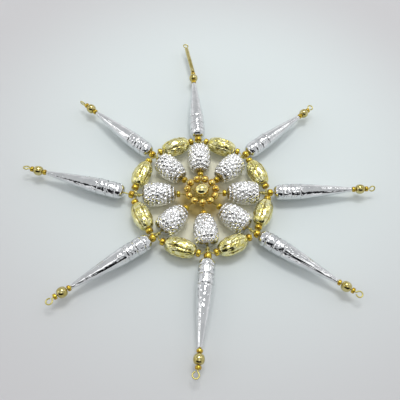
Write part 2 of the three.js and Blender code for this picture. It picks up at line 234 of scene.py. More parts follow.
def blown_ripple_group(quicker: float = 3.7) -> Tree:
    """Builds the slow ripple of blown glass, which bends what it mirrors.

    Args:
        quicker: How many times faster the fine ripple goes.

    Returns:
        A group with the output Height, and Cloud for changes of tone.
    """
    tree, given = new_group("blown_ripple", {"Scale": 400.0, "Fine": 0.35}, ["Height", "Cloud"])
    place = place_on(tree)
    slow = add_node(tree, "TexNoise", {"Vector": place, "Scale": given["Scale"], "Detail": 2.0})
    pace = times(tree, given["Scale"], quicker)
    quick = add_node(tree, "TexNoise", {"Vector": place, "Scale": pace, "Detail": 3.0})
    height = add_node(tree, "Math", {0: quick.outputs["Fac"], 1: given["Fine"],
                                     2: slow.outputs["Fac"]}, operation="MULTIPLY_ADD")
    return give(tree, Height=height.outputs[0], Cloud=slow.outputs["Fac"])


def lining_wear_group(speck: float = 0.34, patch_scale: float = 260.0) -> Tree:
    """Builds the small worn specks of the mirror lining inside a glass bead.

    Args:
        speck: A speck's size, as a share of its cell.
        patch_scale: How dense the patches are that have specks.

    Returns:
        A group with the output Mask, which is 1 on a speck and 0 on sound lining.
    """
    tree, given = new_group("lining_wear", {"Scale": 900.0, "Amount": 0.2}, ["Mask"])
    place = place_on(tree)
    specks = add_node(tree, "TexVoronoi", {"Vector": place, "Scale": given["Scale"]}, feature="F1")
    patches = add_node(tree, "TexNoise", {"Vector": place, "Scale": patch_scale})
    near = soft_step(tree, specks.outputs["Distance"], 0.0, speck, falls=True)
    where = soft_step(tree, patches.outputs["Fac"], 0.5, 0.7)
    return give(tree, Mask=times(tree, times(tree, near, where), given["Amount"], clamp=True))


def crevice_shade_group() -> Tree:
    """Builds the mask of painted shade in the low places between bumps and in creases, from the
    mesh's rise.

    Returns:
        A group with the output Mask, which is 1 at the rise Low and 0 at the rise High.
    """
    tree, given = new_group("crevice_shade", {"Low": -0.3, "High": -0.1}, ["Mask"])
    rise = add_node(tree, "Attribute", attribute_name=RISE).outputs["Fac"]
    return give(tree, Mask=soft_step(tree, rise, given["Low"], given["High"], falls=True))


def pool_of_light_group() -> Tree:
    """Builds a soft round mask about a place on the floor, where the floor gets painted light and
    shade.

    Returns:
        A group with the output Mask, which is 1 within Inner and 0 beyond Outer, in metres.
    """
    tree, given = new_group("pool_of_light", {"Inner": 0.05, "Outer": 0.15, "X": 0.0, "Y": 0.0},
                            ["Mask"])
    middle = add_node(tree, "CombineXYZ", {"X": given["X"], "Y": given["Y"]})
    distance = add_node(tree, "VectorMath", {0: place_on(tree), 1: middle.outputs["Vector"]},
                        operation="DISTANCE").outputs["Value"]
    return give(tree, Mask=soft_step(tree, distance, given["Inner"], given["Outer"], falls=True))


def drawn_lines_group() -> Tree:
    """Builds the fine scuffs of drawn wire.

    Returns:
        A group with the output Height.
    """
    tree, given = new_group("drawn_lines", {"Scale": 1800.0}, ["Height"])
    lines = add_node(tree, "TexNoise", {"Vector": place_on(tree), "Scale": given["Scale"],
                                        "Detail": 4.0, "Distortion": 0.6})
    return give(tree, Height=lines.outputs["Fac"])


@dataclass
class Groups:
    """The shader node groups that the finishes share."""

    ripple: Tree = field(default_factory=blown_ripple_group)
    wear: Tree = field(default_factory=lining_wear_group)
    crevice_shade: Tree = field(default_factory=crevice_shade_group)
    lines: Tree = field(default_factory=drawn_lines_group)
    pool: Tree = field(default_factory=pool_of_light_group)

    def use(self, tree: Tree, group: Tree, **values: float) -> Sockets:
        """Places a group in a tree with the given values, and gives its outputs."""
        return add_node(tree, "Group", values, node_tree=group).outputs


# Finishes


def blank_material(name: str) -> tuple[bpy.types.Material, Tree, Node]:
    """Makes a material with nothing but its shader.

    Args:
        name: The material's name.

    Returns:
        The material, its node tree and its Principled shader.
    """
    material = bpy.data.materials.new(name)
    material.use_nodes = True
    tree = material.node_tree
    return material, tree, tree.nodes["Principled BSDF"]


@dataclass(frozen=True)
class Lining:
    """A mirror lining under clear glass: two tones that drift into each other, worn specks and
    painted shade in the low places.
    """

    light: Colour
    dark: Colour
    roughness: float = 0.06
    roughness_spread: float = 0.08
    ripple_scale: float = 400.0
    ripple_fine: float = 0.35
    ripple_depth: float = 0.00004
    wear_scale: float = 900.0
    wear_amount: float = 0.25
    wear_darkness: float = 0.45
    # Painted shade: the colour of the low places between bumps, in creases and in grooves, and the
    # range of rise where it falls.
    crevice_shade: Colour = (0.10, 0.10, 0.10)
    crevice_shade_low: float = -0.32
    crevice_shade_high: float = -0.12
    metallic: float = 1.0
    coat: float = 0.6
    coat_roughness: float = 0.02

    def build(self, name: str, groups: Groups) -> bpy.types.Material:
        """Builds the material.

        Args:
            name: The material's name.
            groups: The shared effects.

        Returns:
            The material.
        """
        material, tree, shader = blank_material(name)
        ripple = groups.use(tree, groups.ripple, Scale=self.ripple_scale, Fine=self.ripple_fine)
        wear = groups.use(tree, groups.wear, Scale=self.wear_scale, Amount=self.wear_amount)
        low = groups.use(tree, groups.crevice_shade, Low=self.crevice_shade_low, High=self.crevice_shade_high)
        cloud = ripple["Cloud"]
        tones = mixed(tree, soft_step(tree, cloud, 0.35, 0.65), self.light, self.dark)
        worn = mixed(tree, wear["Mask"], tones, [self.wear_darkness * c for c in self.dark])
        rough = add_node(tree, "MapRange", {"Value": cloud, "To Min": self.roughness,
                                            "To Max": self.roughness + self.roughness_spread})
        bump = add_node(tree, "Bump", {"Height": ripple["Height"], "Distance": self.ripple_depth,
                                       "Strength": 1.0})
        # Painted shade: the low places take the crevice colour.
        feed(shader, {"Base Color": mixed(tree, low["Mask"], worn, self.crevice_shade),
                      "Roughness": rough.outputs["Result"], "Normal": bump.outputs["Normal"],
                      "Metallic": self.metallic, "Coat Weight": self.coat,
                      "Coat Roughness": self.coat_roughness})
        return material


@dataclass(frozen=True)
class GiltWire:
    """Pale gilt drawn wire, a little duller where it was handled."""

    light: Colour = (0.62, 0.55, 0.20)
    dark: Colour = (0.40, 0.33, 0.10)
    roughness: float = 0.24
    roughness_spread: float = 0.2
    line_scale: float = 1800.0
    line_depth: float = 0.000015
    wear_scale: float = 700.0
    wear_amount: float = 0.6

    def build(self, name: str, groups: Groups) -> bpy.types.Material:
        """Builds the material.

        Args:
            name: The material's name.
            groups: The shared effects.

        Returns:
            The material.
        """
        material, tree, shader = blank_material(name)
        lines = groups.use(tree, groups.lines, Scale=self.line_scale)["Height"]
        wear = groups.use(tree, groups.wear, Scale=self.wear_scale, Amount=self.wear_amount)
        rough = add_node(tree, "MapRange", {"Value": lines, "To Min": self.roughness,
                                            "To Max": self.roughness + self.roughness_spread})
        bump = add_node(tree, "Bump", {"Height": lines, "Distance": self.line_depth})
        feed(shader, {"Base Color": mixed(tree, wear["Mask"], self.light, self.dark),
                      "Roughness": rough.outputs["Result"], "Normal": bump.outputs["Normal"],
                      "Metallic": 1.0})
        return material


# Each crevice colour below is painted shade for the bead's low places.
FINISHES: dict[Tone, Lining | GiltWire] = {
    Tone.SILVER_SMOOTH: Lining(
        light=(0.76, 0.77, 0.78), dark=(0.69, 0.70, 0.71), roughness=0.04, roughness_spread=0.06,
        ripple_scale=300.0, ripple_depth=0.00012, crevice_shade=(0.50, 0.50, 0.50)),
    Tone.SILVER_BUMPY: Lining(
        light=(0.95, 0.95, 0.95), dark=(0.79, 0.79, 0.78), roughness=0.09, roughness_spread=0.10,
        ripple_scale=1300.0, ripple_depth=0.00006, wear_scale=1200.0, wear_amount=0.5,
        crevice_shade=(0.44, 0.43, 0.39), crevice_shade_low=0.04, crevice_shade_high=0.30),
    Tone.GOLD: Lining(
        light=(0.87, 0.83, 0.45), dark=(0.66, 0.58, 0.13), roughness=0.04,
        ripple_scale=620.0, ripple_depth=0.00018,
        crevice_shade=(0.30, 0.22, 0.02), crevice_shade_low=-0.34, crevice_shade_high=-0.10, coat=1.0),
    Tone.PALE_GOLD: Lining(
        light=(0.64, 0.56, 0.25), dark=(0.45, 0.37, 0.10), roughness=0.04,
        ripple_scale=420.0, ripple_depth=0.00005),
    Tone.WARM_GOLD: Lining(
        light=(0.91, 0.84, 0.41), dark=(0.63, 0.51, 0.16), roughness=0.04,
        ripple_scale=420.0, ripple_depth=0.00005),
    Tone.AMBER: Lining(
        light=(0.73, 0.55, 0.05), dark=(0.46, 0.27, 0.01), roughness=0.12,
        ripple_scale=700.0, ripple_depth=0.00008, metallic=0.8, coat=0.5),
    Tone.DEEP_AMBER: Lining(
        light=(0.86, 0.69, 0.18), dark=(0.54, 0.29, 0.01), roughness=0.05,
        ripple_scale=520.0, ripple_depth=0.00006, metallic=0.9, coat=1.0),
    Tone.WIRE: GiltWire(),
}


@dataclass
class Paint:
    """Gives pieces their finish, and says where they ride."""

    groups: Groups = field(default_factory=Groups)
    made: dict[Tone, bpy.types.Material] = field(default_factory=dict)

    def material(self, tone: Tone) -> bpy.types.Material:
        """Gives the material of a tone, and builds it the first time.

        Args:
            tone: The finish.

        Returns:
            The material.
        """
        if tone not in self.made:
            self.made[tone] = FINISHES[tone].build(f"finish_{tone.value}", self.groups)
        return self.made[tone]

    def dress(self, piece: Piece, tone: Tone, body: str, nodes: Iterable[str] = ()) -> Piece:
        """Finishes a piece, fixes it to its body and hides the CAD nodes that it stands for.

        Args:
            piece: The object, in its place.
            tone: The finish.
            body: The CAD body that carries it.
            nodes: The CAD nodes that it replaces.

        Returns:
            The same piece.
        """
        if not piece.data.materials:
            piece.data.materials.append(self.material(tone))
        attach(piece, body)
        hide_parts(*nodes)
        return piece


# Meshes


def mesh_from_grid(name: str, points: np.ndarray, wraps_rows: bool) -> Mesh:
    """Makes a mesh from rows of points. Each row closes on itself.

    Args:
        name: The mesh's name.
        points: An array of rows, columns and places in metres.
        wraps_rows: Whether the last row joins the first. If not, both get a face across.

    Returns:
        The mesh, smooth shaded.
    """
    rows, columns, _ = points.shape
    faces = []
    for row in range(rows if wraps_rows else rows - 1):
        here, after = row * columns, (row + 1) % rows * columns
        for column in range(columns):
            beside = (column + 1) % columns
            faces.append((here + column, here + beside, after + beside, after + column))
    if not wraps_rows:
        faces.append(tuple(reversed(range(columns))))
        faces.append(tuple(range((rows - 1) * columns, rows * columns)))
    mesh = bpy.data.meshes.new(name)
    mesh.from_pydata(points.reshape(-1, 3).tolist(), [], faces)
    mesh.polygons.foreach_set("use_smooth", [True] * len(faces))
    mesh.update()
    return mesh


def revolved(name: str, profile: Profile, columns: int, relief: Relief | None = None) -> Mesh:
    """Turns a closed profile about +X. Relief moves the outer surface out or in.

    Args:
        name: The mesh's name.
        profile: Points of the whole section, along and radius in millimetres, outer side first.
        columns: How many columns go round.
        relief: Gives the added radius from a place along and an angle, or None.

    Returns:
        The mesh.
    """
    points = np.zeros((len(profile), columns, 3))
    rises = np.zeros((len(profile), columns))
    for row, (along, radius) in enumerate(profile):
        outer = radius > BORE_RADIUS + BORE_SKIN
        for column, turn in enumerate(np.arange(columns) * 2 * math.pi / columns):
            rise = relief(along, turn) if relief and outer else 0.0
            out = radius + rise
            points[row, column] = (along, out * math.cos(turn), out * math.sin(turn))
            rises[row, column] = rise
    mesh = mesh_from_grid(name, points[::-1] * MM, wraps_rows=True)
    mesh.attributes.new(RISE, "FLOAT", "POINT").data.foreach_set("value", rises[::-1].ravel())
    return mesh


def softened(stations: Sequence[Vector], room: float, steps: int = 5) -> list[Vector]:
    """Rounds the corners of a line.

    Args:
        stations: The line's corners.
        room: How far before and after a corner the rounding starts.
        steps: Points in each rounded corner.

    Returns:
        The rounded line.
    """
    line = [stations[0].copy()]
    most, least_length = 0.45, 1e-9
    for before, here, after in zip(stations, stations[1:], stations[2:]):
        arrive, leave = (here.lerp(end, min(most, room / max((end - here).length, least_length)))
                         for end in (before, after))
        for i in range(steps + 1):
            t = i / steps
            line.append(arrive.lerp(here, t).lerp(here.lerp(leave, t), t))
    line.append(stations[-1].copy())
    return line


# A wire's cut end: how far from it, in diameters, and the share of the full radius there
CUT_END = ((0.0, 0.55), (0.12, 0.9), (0.3, 1.0))


def wire_mesh(name: str, line: Sequence[Vector], diameter: float, sides: int = 12) -> Mesh:
    """Sweeps a round section along a line, with rounded cut ends.

    Args:
        name: The mesh's name.
        line: The centre line in millimetres.
        diameter: The wire's diameter in millimetres.
        sides: Sides of the section.

    Returns:
        The mesh.
    """
    least_step = 0.02
    clean = [line[0]]
    for point in line[1:]:
        if (point - clean[-1]).length > least_step:
            clean.append(point)
    last = len(clean) - 1
    tangents = [(clean[min(i + 1, last)] - clean[max(i - 1, 0)]).normalized()
                for i in range(last + 1)]
    across = tangents[0].orthogonal().normalized()
    turns = [k * 2 * math.pi / sides for k in range(sides)]
    rings = []
    for i, (point, tangent) in enumerate(zip(clean, tangents)):
        across = (across - tangent * across.dot(tangent)).normalized()
        second = tangent.cross(across)
        edges = [across * math.cos(turn) + second * math.sin(turn) for turn in turns]
        stops = [(0.0, 1.0)]
        if i == 0:
            stops = [(offset * diameter, share) for offset, share in CUT_END]
        elif i == last:
            stops = [(-offset * diameter, share) for offset, share in reversed(CUT_END)]
        for offset, share in stops:
            rings.append([tuple(point + tangent * offset + edge * (diameter / 2) * share)
                          for edge in edges])
    return mesh_from_grid(name, np.array(rings) * MM, wraps_rows=False)


def loose(name: str, mesh: bpy.types.ID) -> Piece:
    """Makes an object of a mesh that is already in its place.

    Args:
        name: The object's name.
        mesh: Its mesh, or a lamp's or camera's data.

    Returns:
        The new object.
    """
    piece = bpy.data.objects.new(name, mesh)
    bpy.context.scene.collection.objects.link(piece)
    return piece


def placed(name: str, mesh: Mesh, origin: Vector, axis: Vector, roll: float = 0.0) -> Piece:
    """Places a mesh whose own axis is +X.

    Args:
        name: The piece's name.
        mesh: Its mesh.
        origin: Where the mesh's origin goes, in metres.
        axis: Where its +X points.
        roll: Turn about the axis, in radians.

    Returns:
        The new object.
    """
    forward = axis.normalized()
    side = UP.cross(forward).normalized()
    turned = Matrix((forward, side, forward.cross(side))).transposed().to_4x4()
    piece = loose(name, mesh)
    piece.matrix_world = Matrix.Translation(origin) @ turned @ Matrix.Rotation(roll, 4, "X")
    return piece


def swell(share: float, power: float) -> float:
    """Gives the height of a round outline: 0 at share -1 and 1, and 1 in the middle."""
    return max(0.0, 1 - abs(share) ** power) ** (1 / 2)


def shares(steps: int) -> list[float]:
    """Gives shares from -1 to 1 that lie closer together towards both ends."""
    return [-math.cos(math.pi * i / steps) for i in range(steps + 1)]


def barrel(length: float, diameter: float, mouth: float, power: float, steps: int) -> Profile:
    """Gives the outer outline of a swelling bead about its middle.

    Args:
        length: The bead's length.
        diameter: Its largest diameter.
        mouth: Its radius at both ends.
        power: How square it is; 2 is an ellipse.
        steps: Steps from end to end.

    Returns:
        The outline.
    """
    half, swollen = length / 2, diameter / 2 - mouth
    return [(share * half, mouth + swollen * swell(share, power)) for share in shares(steps)]


def bored(outer: Profile, chamfer: float = 0.15, inside: float = BORE_RADIUS,
          rims: tuple[float, float] = (BORE_RADIUS + 0.15,) * 2) -> Profile:
    """Closes an outer outline with the mouths of its bore.

    Args:
        outer: The outline.
        chamfer: How deep the mouths' slope goes.
        inside: The bore's radius.
        rims: The mouths' radii at the first and the last end.

    Returns:
        The whole section.
    """
    first, last = outer[0][0], outer[-1][0]
    return [(first + chamfer, inside), (first, rims[0]), *outer,
            (last, rims[1]), (last - chamfer, inside)]


def to_the_left(along: Vector) -> Vector:
    """Gives the level direction a quarter turn counter-clockwise of another."""
    return Vector((-along.y, along.x, 0))


@dataclass(frozen=True)
class Ripple:
    """A layer of noise on a bead: its depth, its pace along and round, and its shift by number."""

    depth: float
    along: float
    around: float
    shift: float = 0.0

    def at(self, along: float, turn: float, number: int = 0) -> float:
        """Gives the layer's height at a place along and an angle."""
        y, z = self.around * math.cos(turn), self.around * math.sin(turn) + self.shift * number
        return self.depth * noise.noise(Vector((along * self.along, y, z)))


@dataclass(frozen=True)
class RoundBead:
    """A round bead. The mouth is the radius of the flat round its bore, and power 2 an ellipse."""

    length: float
    diameter: float
    mouth: float
    power: float
    steps: int
    columns: int
    chamfer: float = 0.12
    inside: float = BORE_RADIUS - 0.08
    rim: float = BORE_RADIUS + 0.06

    def mesh(self, name: str) -> Mesh:
        """Builds the bead about its middle."""
        outer = barrel(self.length, self.diameter, self.mouth, self.power, self.steps)
        return revolved(name, bored(outer, self.chamfer, self.inside, (self.rim, self.rim)),
                        self.columns)


def seed(length: float, diameter: float) -> RoundBead:
    """Gives a seed bead: a short tube with fully rounded rims."""
    return RoundBead(length, diameter, mouth=diameter * 0.32, power=3.2, steps=18, columns=28)


# Places


@dataclass
class Spoke:
    """One spoke's lines and places, in metres, from the joints of the beads on it."""

    along: Vector
    ray_along: Vector
    berry_start: Vector
    ball: Vector

    @property
    def inner_hook(self) -> Vector:
        """Where the clockwise rim wire winds round the spoke."""
        return self.berry_start + self.along * (BERRY_LENGTH + BERRY_TO_HOOK) * MM

    @property
    def outer_hook(self) -> Vector:
        """Where the other rim wire winds round the spoke."""
        return self.inner_hook + self.along * HOOK_SPACING * MM

    @property
    def bend(self) -> Vector:
        """Where the ray leans away from the spoke."""
        to_bend = BERRY_LENGTH + BERRY_TO_HOOK + 2 * HOOK_SPACING
        return self.berry_start + self.along * to_bend * MM

    @property
    def tip(self) -> Vector:
        """Where the wire leaves the last seed."""
        return self.ball + self.ray_along * (BALL_LENGTH / 2 + BEAD_GAP + TIP_SEED_LENGTH) * MM


@dataclass
class Layout:
    """Places of all the pieces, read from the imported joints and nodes."""

    joints: dict[str, dict] = field(
        default_factory=lambda: {j["child"]: j for j in frame["joints"]})

    def line(self, node: str) -> tuple[Vector, Vector]:
        """Gives the place and the axis of a node that turns."""
        joint = self.joints[f"{node}_body"]
        return Vector(joint["pos_m"]), Vector(joint["axis"]).normalized()

    def spoke(self, number: int) -> Spoke:
        """Gathers one spoke.

        Args:
            number: The spoke, counted clockwise from 1 at the top.

        Returns:
            Its lines and places.
        """
        berry_start, along = self.line(f"berry_bead_{number}")
        _, ray_along = self.line(f"ray_{number}")
        ball, _ = self.line(f"tip_ball_{number}")
        return Spoke(along, ray_along, berry_start, ball)

    def on_rim(self, number: int, distance: float) -> Vector:
        """Gives the place on an oval's line that many millimetres clockwise of its middle."""
        middle, counter_clockwise = self.line(f"oval_bead_{number}")
        return middle - counter_clockwise * distance * MM

    @property
    def hub(self) -> Vector:
        """The middle of the star, at the height of the spokes."""
        low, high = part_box("centre_ball")
        return Vector(((low.x + high.x) / 2, (low.y + high.y) / 2, self.line("berry_bead_1")[0].z))


# Beads


@dataclass
class SubAssembly:
    """Pieces of one kind. The layout says where they go, and the paint finishes them."""

    layout: Layout
    paint: Paint

    def build(self) -> list[Piece]:
        """Makes, places and dresses the pieces."""
        raise NotImplementedError

    def wire(self, name: str, line: Sequence[Vector], diameter: float, node: str) -> Piece:
        """Makes a wire along a line in millimetres, in place of a CAD node."""
        piece = loose(name, wire_mesh(name, line, diameter))
        return self.paint.dress(piece, Tone.WIRE, ROOT_BODY, [node])


@dataclass
class SpinningBeads(SubAssembly):
    """Beads of one kind that spin on their wires, one for each spoke or rim wire."""

    node: ClassVar[str]
    label: ClassVar[str]
    tone: ClassVar[Tone]
    roll_step: ClassVar[float] = GOLDEN_TURN

    def meshes(self) -> list[Mesh]:
        """Builds the mesh of each bead."""
        raise NotImplementedError

    def build(self) -> list[Piece]:
        """Places the beads, each rolled further so that no two show the same side.

        Returns:
            The beads.
        """
        beads = []
        for number, mesh in enumerate(self.meshes(), start=1):
            node = f"{self.node}_{number}"
            piece = placed(f"{self.label}_{number}", mesh, *self.layout.line(node),
                           number * self.roll_step)
            beads.append(self.paint.dress(piece, self.tone, f"{node}_body", [node]))
        return beads


@dataclass
class BerryBeads(SpinningBeads):
    """Moulded silver beads with staggered rows of small round bumps, none quite like the next."""

    node = "berry_bead"
    label = "bumpy_berry"
    tone = Tone.SILVER_BUMPY

    length: float = BERRY_LENGTH
    diameter: float = 10.7
    widest: float = 0.6
    inner_power: float = 1.8
    outer_power: float = 3.2
    neck: float = 1.5
    neck_step: float = 0.2
    rows: int = 8
    around: int = 15
    smooth_end: float = 0.04
    bump_height: float = 0.75
    bump_spread: float = 0.56
    largest_bump: float = 1.12
    unevenness: float = 0.55
    drift: tuple[float, float, float] = (0.5, 0.8, 0.5)
    row_pace: float = 7.13
    column_pace: float = 3.71
    draw_pace: tuple[float, float, float] = (17.3, 5.9, 2.7)
    crumple: Ripple = Ripple(0.16, 1.6, 8.0)
    sunk: float = 0.048
    flat_end: float = 1.5
    columns: int = 168
    steps: int = 96

    def body_radius(self, share: float) -> float:
        """Gives the egg's radius under its bumps.

        Args:
            share: The share of the length, from the narrow end.

        Returns:
            The radius.
        """
        if share < self.widest:
            side, power = (self.widest - share) / self.widest, self.inner_power
        else:
            side, power = (share - self.widest) / (1 - self.widest), self.outer_power
        return self.neck + (self.diameter / 2 - self.bump_height - self.neck) * swell(side, power)

    def draws(self, row: int, column: int) -> list[float]:
        """Gives a bump's own shift sideways, shift onward and growth, the same in each run."""
        cell = Vector((row * self.row_pace, column * self.column_pace, 0.5))
        return [amount * self.unevenness * noise.noise(cell + i * Vector(self.draw_pace))
                for i, amount in enumerate(self.drift)]

    def bump(self, row: int, place: float, share: float, turn: float) -> float:
        """Gives the height of the nearest bump of one row.

        Args:
            row: The row, from the narrow end.
            place: The row's share of the length.
            share: The looked-at share of the length.
            turn: The looked-at angle.

        Returns:
            The height as a share of the full bump height.
        """
        pitch = 2 * math.pi / self.around
        shift = 0.5 if row % 2 else 0.0
        column = round(turn / pitch - shift)
        sideways, onward, growth = self.draws(row, column % self.around)
        radius, row_radius = self.body_radius(share), self.body_radius(place)
        across = (turn / pitch - shift - column + sideways) * pitch * row_radius
        away = math.hypot((share - place) * self.length, radius - row_radius)
        lengthwise = math.copysign(away, share - place) + onward
        reach = min(self.bump_spread * pitch * row_radius, self.largest_bump) * (1 + growth)
        distance = math.hypot(across, lengthwise) / reach
        return 0.0 if distance >= 1 else math.sqrt(1 - distance ** 2) * min(1.0, reach)

    def relief(self, along: float, turn: float) -> float:
        """Gives the height of the bumps and folds.

        Args:
            along: The place along.
            turn: The angle.

        Returns:
            The height above the egg, in millimetres.
        """
        share = min(max(along / self.length, 0.0), 1.0)
        bumpy = 1 - self.smooth_end
        first = math.floor(share / bumpy * self.rows - 0.5) - 1
        best = 0.0
        for row in range(max(first, 0), min(first + 4, self.rows)):
            best = max(best, self.bump(row, (row + 0.5) / self.rows * bumpy, share, turn))
        ends = min(1.0, along / self.flat_end, (self.length - along) / self.flat_end)
        fold = ends * (self.crumple.at(along, turn) - self.sunk)
        return min(max(best + fold, 0.0), 1.0) * self.bump_height

    def meshes(self) -> list[Mesh]:
        """Builds the mesh that the beads share.

        Returns:
            The mesh, once for each bead.
        """
        lip = self.neck - self.neck_step
        stops = [(share + 1) / 2 for share in shares(self.steps)]
        egg = [(stop * self.length, self.body_radius(stop)) for stop in stops]
        profile = bored([(0.0, lip), *egg, (self.length, lip)])
        return [revolved(self.label, profile, self.columns, self.relief)] * SPOKES


@dataclass
class RayBeads(SpinningBeads):
    """Long blown rays with a domed end, two barrel bands and a long taper."""

    node = "ray"
    label = "banded_ray"
    tone = Tone.SILVER_SMOOTH
    roll_step = 0.0

    length: float = 35.2
    diameter: float = 7.1
    mouth: float = 1.3
    tip: float = 0.9
    rims: tuple[float, float] = (BORE_RADIUS + 0.15, BORE_RADIUS + 0.1)
    dome: float = 3.4
    dome_power: float = 2.3
    dome_steps: int = 24
    bands: tuple[float, ...] = (3.7, 4.2)
    band_step: float = 0.14
    groove_depth: float = 0.3
    groove_half: float = 0.55
    groove_power: float = 1.4
    belly: float = 0.2
    taper_steps: int = 60
    wave: Ripple = Ripple(0.05, 0.55, 2.2, 31.7)
    crackle: Ripple = Ripple(0.13, 1.15, 4.4, 17.3)
    fine_crackle: Ripple = Ripple(0.05, 2.415, 9.24, 36.33)
    streak: Ripple = Ripple(0.12, 0.09, 4.4, 53.9)
    fade_length: float = 9.0
    least_fade: float = 0.3
    sunk: float = 0.03
    columns: int = 96

    def __post_init__(self) -> None:
        """Finds where the grooves and the taper are."""
        self.grooves = [self.dome + sum(self.bands[:i]) for i in range(len(self.bands) + 1)]
        self.taper = self.grooves[-1] + self.groove_half

    def outline(self, along: float) -> float:
        """Gives the smooth radius of a ray.

        Args:
            along: The place along it.

        Returns:
            The radius.
        """
        radius = self.diameter / 2
        if along < self.dome:
            bulge = swell(1 - along / self.dome, self.dome_power)
            return self.mouth + (radius - self.mouth) * bulge
        start = self.grooves[-1]
        share = max(0.0, (along - start) / (self.length - start))
        return radius + (self.tip - radius) * share + self.belly * math.sin(math.pi * share)

    def groove(self, along: float) -> float:
        """Gives how deep the grooves cut at a place along."""
        off = min(abs(along - place) for place in self.grooves) / self.groove_half
        return self.groove_depth * max(0.0, 1 - off) ** self.groove_power

    def relief(self, number: int, along: float, turn: float) -> float:
        """Gives the height of one ray's waves, crackle, streaks and grooves.

        Args:
            number: The ray.
            along: The place along.
            turn: The angle.

        Returns:
            The height, which is below 0 in the grooves.
        """
        fade = max(self.least_fade, min(1.0, 1 - (along - self.taper) / self.fade_length))
        ends = min(1.0, along / 1.2, (self.length - along) / 2)
        crackle = self.crackle.at(along, turn, number) + self.fine_crackle.at(along, turn, number)
        girth = self.outline(along) / self.diameter * 2
        streak = girth * self.streak.at(along, turn, number)
        wave = self.wave.at(along, turn, number)
        drawn = (1 + self.least_fade - fade) * streak
        return ends * (wave + fade * crackle + drawn - self.sunk) - self.groove(along)

    def meshes(self) -> list[Mesh]:
        """Builds each ray with its own hand-blown waviness.

        Returns:
            The meshes.
        """
        place = self.dome - self.groove_half
        stops = [self.dome * (1 + share) for share in shares(self.dome_steps)]
        stops = [along for along in stops if along < place]
        while place < self.taper:
            stops.append(place)
            place += self.band_step
        straight = self.length - self.taper
        stops += [self.taper + straight * i / self.taper_steps for i in range(self.taper_steps + 1)]
        profile = bored([(along, self.outline(along)) for along in stops], rims=self.rims)
        return [revolved(f"{self.label}_{number}", profile, self.columns,
                         partial(self.relief, number)) for number in range(1, SPOKES + 1)]


@dataclass
class OvalBeads(SpinningBeads):
    """Gold blown ovals of the rim, with lobes along them and a moulded leafy grain."""

    node = "oval_bead"
    label = "lobed_oval"
    tone = Tone.GOLD

    length: float = OVAL_LENGTH
    diameter: float = 8.0
    neck: float = 1.25
    power: float = 2.0
    lobes: int = 6
    crease: float = 0.34
    crease_power: int = 5
    end_power: int = 4
    grain: Ripple = Ripple(0.22, 0.5, 4.6)
    fine_grain: Ripple = Ripple(0.11, 1.05, 9.66)
    twist: float = 0.05
    sunk: float = 0.04
    columns: int = 108
    steps: int = 80

    def relief(self, along: float, turn: float) -> float:
        """Gives the height of the creases and the grain.

        Args:
            along: The place along, from the middle.
            turn: The angle.

        Returns:
            The height, which is below 0 in the creases.
        """
        phase = (self.lobes * turn / (2 * math.pi) + 0.5) % 1.0 - 0.5
        valley = self.crease * (2 * abs(phase)) ** self.crease_power
        twisted = turn + self.twist * along
        grain = self.grain.at(along, twisted) + self.fine_grain.at(along, twisted)
        return (1 - (2 * along / self.length) ** self.end_power) * (grain - valley - self.sunk)

    def meshes(self) -> list[Mesh]:
        """Builds the mesh that the beads share, once for each bead."""
        profile = bored(barrel(self.length, self.diameter, self.neck, self.power, self.steps))
        return [revolved(self.label, profile, self.columns, self.relief)] * SPOKES


@dataclass
class TipBalls(SpinningBeads):
    """Pale gold blown balls near the tips."""

    node = "tip_ball"
    label = "pale_ball"
    tone = Tone.PALE_GOLD

    form: RoundBead = RoundBead(BALL_LENGTH, diameter=4.3, mouth=0.75, power=2.0,
                                steps=28, columns=44)

    def meshes(self) -> list[Mesh]:
        """Builds the mesh that the balls share, once for each ball."""
        return [self.form.mesh(self.label)] * SPOKES


@dataclass
class TubeBead(SubAssembly):
    """The thin gold tube between the top ball and the hanging eye."""

    length: float = TUBE_LENGTH
    diameter: float = 2.0
    wall: float = 0.3
    rounding: float = 0.08
    uneven: Ripple = Ripple(0.025, 0.8, 2.0)
    columns: int = 32
    steps: int = 40

    def build(self) -> list[Piece]:
        """Places the tube.

        Returns:
            The tube alone.
        """
        radius = self.diameter / 2
        bore, rim = radius - self.wall, radius - self.rounding
        straight = self.length - 2 * self.rounding
        profile: Profile = [(0.0, bore), (0.0, rim)]
        profile += [(self.rounding + straight * i / self.steps, radius)
                    for i in range(self.steps + 1)]
        profile += [(self.length, rim), (self.length, bore)]
        mesh = revolved("tube_bead", profile, self.columns, self.uneven.at)
        piece = placed("tube_bead", mesh, *self.layout.line("hanger_tube"))
        return [self.paint.dress(piece, Tone.PALE_GOLD, "hanger_tube_body", ["hanger_tube"])]


